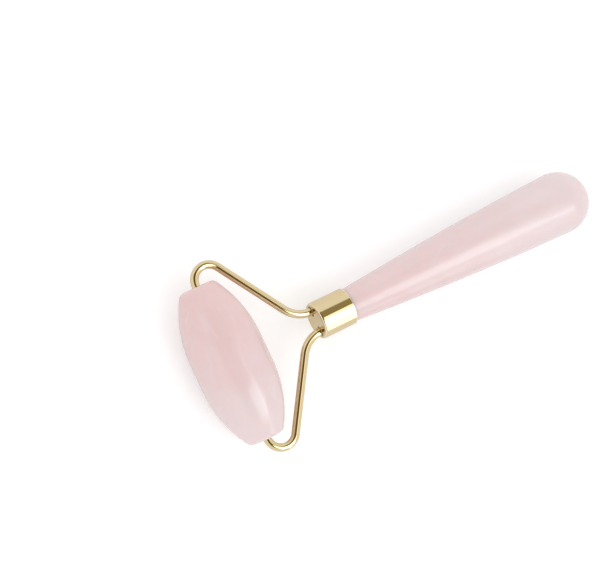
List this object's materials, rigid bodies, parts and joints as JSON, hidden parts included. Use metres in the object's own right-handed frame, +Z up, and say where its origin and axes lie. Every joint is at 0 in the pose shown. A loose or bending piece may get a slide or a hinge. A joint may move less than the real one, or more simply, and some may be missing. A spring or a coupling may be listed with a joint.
{
  "type": "face roller",
  "caption": "Hand-held face roller: a barrel-shaped stone turns on the ends of a bent wire frame held by a metal ferrule on a tapered stone handle.",
  "frame": {"origin": "on the surface the roller lies on, under the middle of the whole object's box", "axes": "+X from the barrel towards the rounded end of the handle, +Y along the barrel's axle, +Z up from the surface the roller lies on"},
  "size_m": [0.121, 0.0526, 0.0196],
  "materials": {
    "barrel_quartz": "polished",
    "handle_quartz": "polished",
    "sleeve_nylon": "satin",
    "wire_brass": "polished",
    "ferrule_brass": "polished",
    "clear_adhesive": "gloss"
  },
  "bodies": {
    "handle": {"handle_stone": "handle_quartz", "ferrule": "ferrule_brass", "glue_block": "clear_adhesive", "wire_frame": "wire_brass"},
    "roller": {"roller_stone": "barrel_quartz", "bush_left": "sleeve_nylon", "bush_right": "sleeve_nylon"}
  },
  "joints": [
    {"name": "roller_spin", "type": "hinge", "parent": "handle", "child": "roller", "pos_m": [-0.05069, 0, 0.0098], "axis": [0, 1, 0], "continuous": true}
  ]
}
